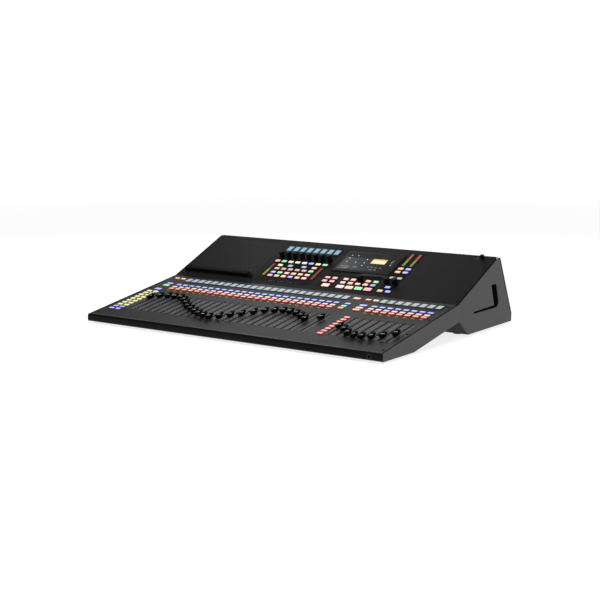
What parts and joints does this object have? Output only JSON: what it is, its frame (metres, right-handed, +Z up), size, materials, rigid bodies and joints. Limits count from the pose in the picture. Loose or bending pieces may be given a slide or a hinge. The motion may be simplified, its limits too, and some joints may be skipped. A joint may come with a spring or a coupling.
{
  "type": "digital mixing console",
  "caption": "Digital mixing console in a folded metal case with sloping control panels, motor faders, rotary encoders, lit keys, a touchscreen and two side cheeks with carrying grips.",
  "frame": {"origin": "under the middle of the whole object, at the bottom of the feet", "axes": "+X is the operator's right and the long way, +Y is the rear with the connectors, +Z is up"},
  "size_m": [0.82, 0.585, 0.1705],
  "materials": {
    "cheek_paint": "satin grey paint on a steel plate",
    "panel_paint": "fine matt dark grey paint",
    "tray_paint": "matt black paint",
    "armrest_black": "satin black",
    "key_white": "translucent key caps lit from below",
    "fader_cap": "black with a pale line",
    "knob_grey": "soft matt grey",
    "screen_glass": "glossy dark glass",
    "foot_rubber": "matt",
    "connector_black": "satin",
    "board_green": "satin"
  },
  "bodies": {
    "console": {"chassis_tray": "tray_paint", "rear_panel": "panel_paint", "rear_inputs": "connector_black", "rear_outputs": "connector_black", "lower_panel": "panel_paint", "upper_panel": "panel_paint", "left_cheek": "cheek_paint", "right_cheek": "cheek_paint", "front_armrest": "armrest_black", "display_glass": "screen_glass", "electronics": "board_green", "rubber_feet": "foot_rubber"},
    "main_fader_body": {"main_fader": "fader_cap"},
    "fader_01_body": {"fader_01": "fader_cap"},
    "fader_13_body": {"fader_13": "fader_cap"},
    "fader_32_body": {"fader_32": "fader_cap"},
    "lower_buttons_body": {"lower_buttons": "key_white"},
    "upper_buttons_body": {"upper_buttons": "key_white"},
    "power_switch_body": {"power_switch": "connector_black"},
    "master_encoder_body": {"master_encoder": "knob_grey"},
    "channel_encoder_1_body": {"channel_encoder_1": "knob_grey"},
    "screen_encoder_body": {"screen_encoder": "knob_grey"},
    "monitor_encoder_body": {"monitor_encoder": "knob_grey"},
    "headphone_knob_body": {"headphone_knob": "knob_grey"},
    "channel_encoder_2_body": {"channel_encoder_2": "knob_grey"},
    "channel_encoder_3_body": {"channel_encoder_3": "knob_grey"},
    "channel_encoder_4_body": {"channel_encoder_4": "knob_grey"},
    "channel_encoder_5_body": {"channel_encoder_5": "knob_grey"},
    "channel_encoder_6_body": {"channel_encoder_6": "knob_grey"},
    "channel_encoder_7_body": {"channel_encoder_7": "knob_grey"},
    "channel_encoder_8_body": {"channel_encoder_8": "knob_grey"},
    "fader_02_body": {"fader_02": "fader_cap"},
    "fader_03_body": {"fader_03": "fader_cap"},
    "fader_04_body": {"fader_04": "fader_cap"},
    "fader_05_body": {"fader_05": "fader_cap"},
    "fader_06_body": {"fader_06": "fader_cap"},
    "fader_07_body": {"fader_07": "fader_cap"},
    "fader_08_body": {"fader_08": "fader_cap"},
    "fader_09_body": {"fader_09": "fader_cap"},
    "fader_10_body": {"fader_10": "fader_cap"},
    "fader_11_body": {"fader_11": "fader_cap"},
    "fader_12_body": {"fader_12": "fader_cap"},
    "fader_14_body": {"fader_14": "fader_cap"},
    "fader_15_body": {"fader_15": "fader_cap"},
    "fader_16_body": {"fader_16": "fader_cap"},
    "fader_17_body": {"fader_17": "fader_cap"},
    "fader_18_body": {"fader_18": "fader_cap"},
    "fader_19_body": {"fader_19": "fader_cap"},
    "fader_20_body": {"fader_20": "fader_cap"},
    "fader_21_body": {"fader_21": "fader_cap"},
    "fader_22_body": {"fader_22": "fader_cap"},
    "fader_23_body": {"fader_23": "fader_cap"},
    "fader_24_body": {"fader_24": "fader_cap"},
    "fader_25_body": {"fader_25": "fader_cap"},
    "fader_26_body": {"fader_26": "fader_cap"},
    "fader_27_body": {"fader_27": "fader_cap"},
    "fader_28_body": {"fader_28": "fader_cap"},
    "fader_29_body": {"fader_29": "fader_cap"},
    "fader_30_body": {"fader_30": "fader_cap"},
    "fader_31_body": {"fader_31": "fader_cap"}
  },
  "joints": [
    {"name": "main_fader_slide", "type": "slide", "parent": "console", "child": "main_fader_body", "axis": [0, 0.9846, 0.1747], "range_m": [-0.077, 0.023]},
    {"name": "fader_01_slide", "type": "slide", "parent": "console", "child": "fader_01_body", "axis": [0, 0.9846, 0.1747], "range_m": [-0.078, 0.022]},
    {"name": "fader_13_slide", "type": "slide", "parent": "console", "child": "fader_13_body", "axis": [0, 0.9846, 0.1747], "range_m": [0, 0.1]},
    {"name": "fader_32_slide", "type": "slide", "parent": "console", "child": "fader_32_body", "axis": [0, 0.9846, 0.1747], "range_m": [-0.038, 0.062]},
    {"name": "lower_buttons_press", "type": "slide", "parent": "console", "child": "lower_buttons_body", "axis": [0, -0.1747, 0.9846], "range_m": [-0.0012, 0], "stiffness_N_per_m": 1500, "springref_m": 0.002},
    {"name": "upper_buttons_press", "type": "slide", "parent": "console", "child": "upper_buttons_body", "axis": [0, -0.412, 0.9112], "range_m": [-0.0012, 0], "stiffness_N_per_m": 1500, "springref_m": 0.002},
    {"name": "power_switch_rock", "type": "hinge", "parent": "console", "child": "power_switch_body", "pos_m": [0.298, 0.26761, 0.05734], "axis": [-1, 0, 0], "range_deg": [-16, 0]},
    {"name": "master_encoder_turn", "type": "hinge", "parent": "console", "child": "master_encoder_body", "pos_m": [0.191, 0.08191, 0.10748], "axis": [0, -0.412, 0.9112], "continuous": true},
    {"name": "channel_encoder_1_turn", "type": "hinge", "parent": "console", "child": "channel_encoder_1_body", "pos_m": [-0.1565, 0.14752, 0.13714], "axis": [0, -0.412, 0.9112], "continuous": true},
    {"name": "screen_encoder_turn", "type": "hinge", "parent": "console", "child": "screen_encoder_body", "pos_m": [0.119, 0.081, 0.10706], "axis": [0, -0.412, 0.9112], "continuous": true},
    {"name": "monitor_encoder_turn", "type": "hinge", "parent": "console", "child": "monitor_encoder_body", "pos_m": [0.2135, 0.081, 0.10706], "axis": [0, -0.412, 0.9112], "continuous": true},
    {"name": "headphone_knob_turn", "type": "hinge", "parent": "console", "child": "headphone_knob_body", "pos_m": [0.374, 0.20583, 0.16351], "axis": [0, -0.412, 0.9112], "range_deg": [-150, 150]},
    {"name": "channel_encoder_2_turn", "type": "hinge", "parent": "console", "child": "channel_encoder_2_body", "pos_m": [-0.13602, 0.14752, 0.13714], "axis": [0, -0.412, 0.9112], "continuous": true},
    {"name": "channel_encoder_3_turn", "type": "hinge", "parent": "console", "child": "channel_encoder_3_body", "pos_m": [-0.11554, 0.14752, 0.13714], "axis": [0, -0.412, 0.9112], "continuous": true},
    {"name": "channel_encoder_4_turn", "type": "hinge", "parent": "console", "child": "channel_encoder_4_body", "pos_m": [-0.09506, 0.14752, 0.13714], "axis": [0, -0.412, 0.9112], "continuous": true},
    {"name": "channel_encoder_5_turn", "type": "hinge", "parent": "console", "child": "channel_encoder_5_body", "pos_m": [-0.07458, 0.14752, 0.13714], "axis": [0, -0.412, 0.9112], "continuous": true},
    {"name": "channel_encoder_6_turn", "type": "hinge", "parent": "console", "child": "channel_encoder_6_body", "pos_m": [-0.0541, 0.14752, 0.13714], "axis": [0, -0.412, 0.9112], "continuous": true},
    {"name": "channel_encoder_7_turn", "type": "hinge", "parent": "console", "child": "channel_encoder_7_body", "pos_m": [-0.03362, 0.14752, 0.13714], "axis": [0, -0.412, 0.9112], "continuous": true},
    {"name": "channel_encoder_8_turn", "type": "hinge", "parent": "console", "child": "channel_encoder_8_body", "pos_m": [-0.01314, 0.14752, 0.13714], "axis": [0, -0.412, 0.9112], "continuous": true},
    {"name": "fader_02_slide", "type": "slide", "parent": "console", "child": "fader_02_body", "axis": [0, 0.9846, 0.1747], "range_m": [-0.09, 0.01]},
    {"name": "fader_03_slide", "type": "slide", "parent": "console", "child": "fader_03_body", "axis": [0, 0.9846, 0.1747], "range_m": [-0.096, 0.004]},
    {"name": "fader_04_slide", "type": "slide", "parent": "console", "child": "fader_04_body", "axis": [0, 0.9846, 0.1747], "range_m": [-0.096, 0.004]},
    {"name": "fader_05_slide", "type": "slide", "parent": "console", "child": "fader_05_body", "axis": [0, 0.9846, 0.1747], "range_m": [-0.095, 0.005]},
    {"name": "fader_06_slide", "type": "slide", "parent": "console", "child": "fader_06_body", "axis": [0, 0.9846, 0.1747], "range_m": [-0.083, 0.017]},
    {"name": "fader_07_slide", "type": "slide", "parent": "console", "child": "fader_07_body", "axis": [0, 0.9846, 0.1747], "range_m": [-0.065, 0.035]},
    {"name": "fader_08_slide", "type": "slide", "parent": "console", "child": "fader_08_body", "axis": [0, 0.9846, 0.1747], "range_m": [-0.047, 0.053]},
    {"name": "fader_09_slide", "type": "slide", "parent": "console", "child": "fader_09_body", "axis": [0, 0.9846, 0.1747], "range_m": [-0.034, 0.066]},
    {"name": "fader_10_slide", "type": "slide", "parent": "console", "child": "fader_10_body", "axis": [0, 0.9846, 0.1747], "range_m": [-0.023, 0.077]},
    {"name": "fader_11_slide", "type": "slide", "parent": "console", "child": "fader_11_body", "axis": [0, 0.9846, 0.1747], "range_m": [-0.012, 0.088]},
    {"name": "fader_12_slide", "type": "slide", "parent": "console", "child": "fader_12_body", "axis": [0, 0.9846, 0.1747], "range_m": [-0.004, 0.096]},
    {"name": "fader_14_slide", "type": "slide", "parent": "console", "child": "fader_14_body", "axis": [0, 0.9846, 0.1747], "range_m": [-0.012, 0.088]},
    {"name": "fader_15_slide", "type": "slide", "parent": "console", "child": "fader_15_body", "axis": [0, 0.9846, 0.1747], "range_m": [-0.027, 0.073]},
    {"name": "fader_16_slide", "type": "slide", "parent": "console", "child": "fader_16_body", "axis": [0, 0.9846, 0.1747], "range_m": [-0.042, 0.058]},
    {"name": "fader_17_slide", "type": "slide", "parent": "console", "child": "fader_17_body", "axis": [0, 0.9846, 0.1747], "range_m": [-0.061, 0.039]},
    {"name": "fader_18_slide", "type": "slide", "parent": "console", "child": "fader_18_body", "axis": [0, 0.9846, 0.1747], "range_m": [-0.076, 0.024]},
    {"name": "fader_19_slide", "type": "slide", "parent": "console", "child": "fader_19_body", "axis": [0, 0.9846, 0.1747], "range_m": [-0.086, 0.014]},
    {"name": "fader_20_slide", "type": "slide", "parent": "console", "child": "fader_20_body", "axis": [0, 0.9846, 0.1747], "range_m": [-0.091, 0.009]},
    {"name": "fader_21_slide", "type": "slide", "parent": "console", "child": "fader_21_body", "axis": [0, 0.9846, 0.1747], "range_m": [-0.089, 0.011]},
    {"name": "fader_22_slide", "type": "slide", "parent": "console", "child": "fader_22_body", "axis": [0, 0.9846, 0.1747], "range_m": [-0.084, 0.016]},
    {"name": "fader_23_slide", "type": "slide", "parent": "console", "child": "fader_23_body", "axis": [0, 0.9846, 0.1747], "range_m": [-0.073, 0.027]},
    {"name": "fader_24_slide", "type": "slide", "parent": "console", "child": "fader_24_body", "axis": [0, 0.9846, 0.1747], "range_m": [-0.058, 0.042]},
    {"name": "fader_25_slide", "type": "slide", "parent": "console", "child": "fader_25_body", "axis": [0, 0.9846, 0.1747], "range_m": [-0.042, 0.058]},
    {"name": "fader_26_slide", "type": "slide", "parent": "console", "child": "fader_26_body", "axis": [0, 0.9846, 0.1747], "range_m": [-0.028, 0.072]},
    {"name": "fader_27_slide", "type": "slide", "parent": "console", "child": "fader_27_body", "axis": [0, 0.9846, 0.1747], "range_m": [-0.01, 0.09]},
    {"name": "fader_28_slide", "type": "slide", "parent": "console", "child": "fader_28_body", "axis": [0, 0.9846, 0.1747], "range_m": [-0.002, 0.098]},
    {"name": "fader_29_slide", "type": "slide", "parent": "console", "child": "fader_29_body", "axis": [0, 0.9846, 0.1747], "range_m": [0, 0.1]},
    {"name": "fader_30_slide", "type": "slide", "parent": "console", "child": "fader_30_body", "axis": [0, 0.9846, 0.1747], "range_m": [-0.006, 0.094]},
    {"name": "fader_31_slide", "type": "slide", "parent": "console", "child": "fader_31_body", "axis": [0, 0.9846, 0.1747], "range_m": [-0.019, 0.081]}
  ]
}
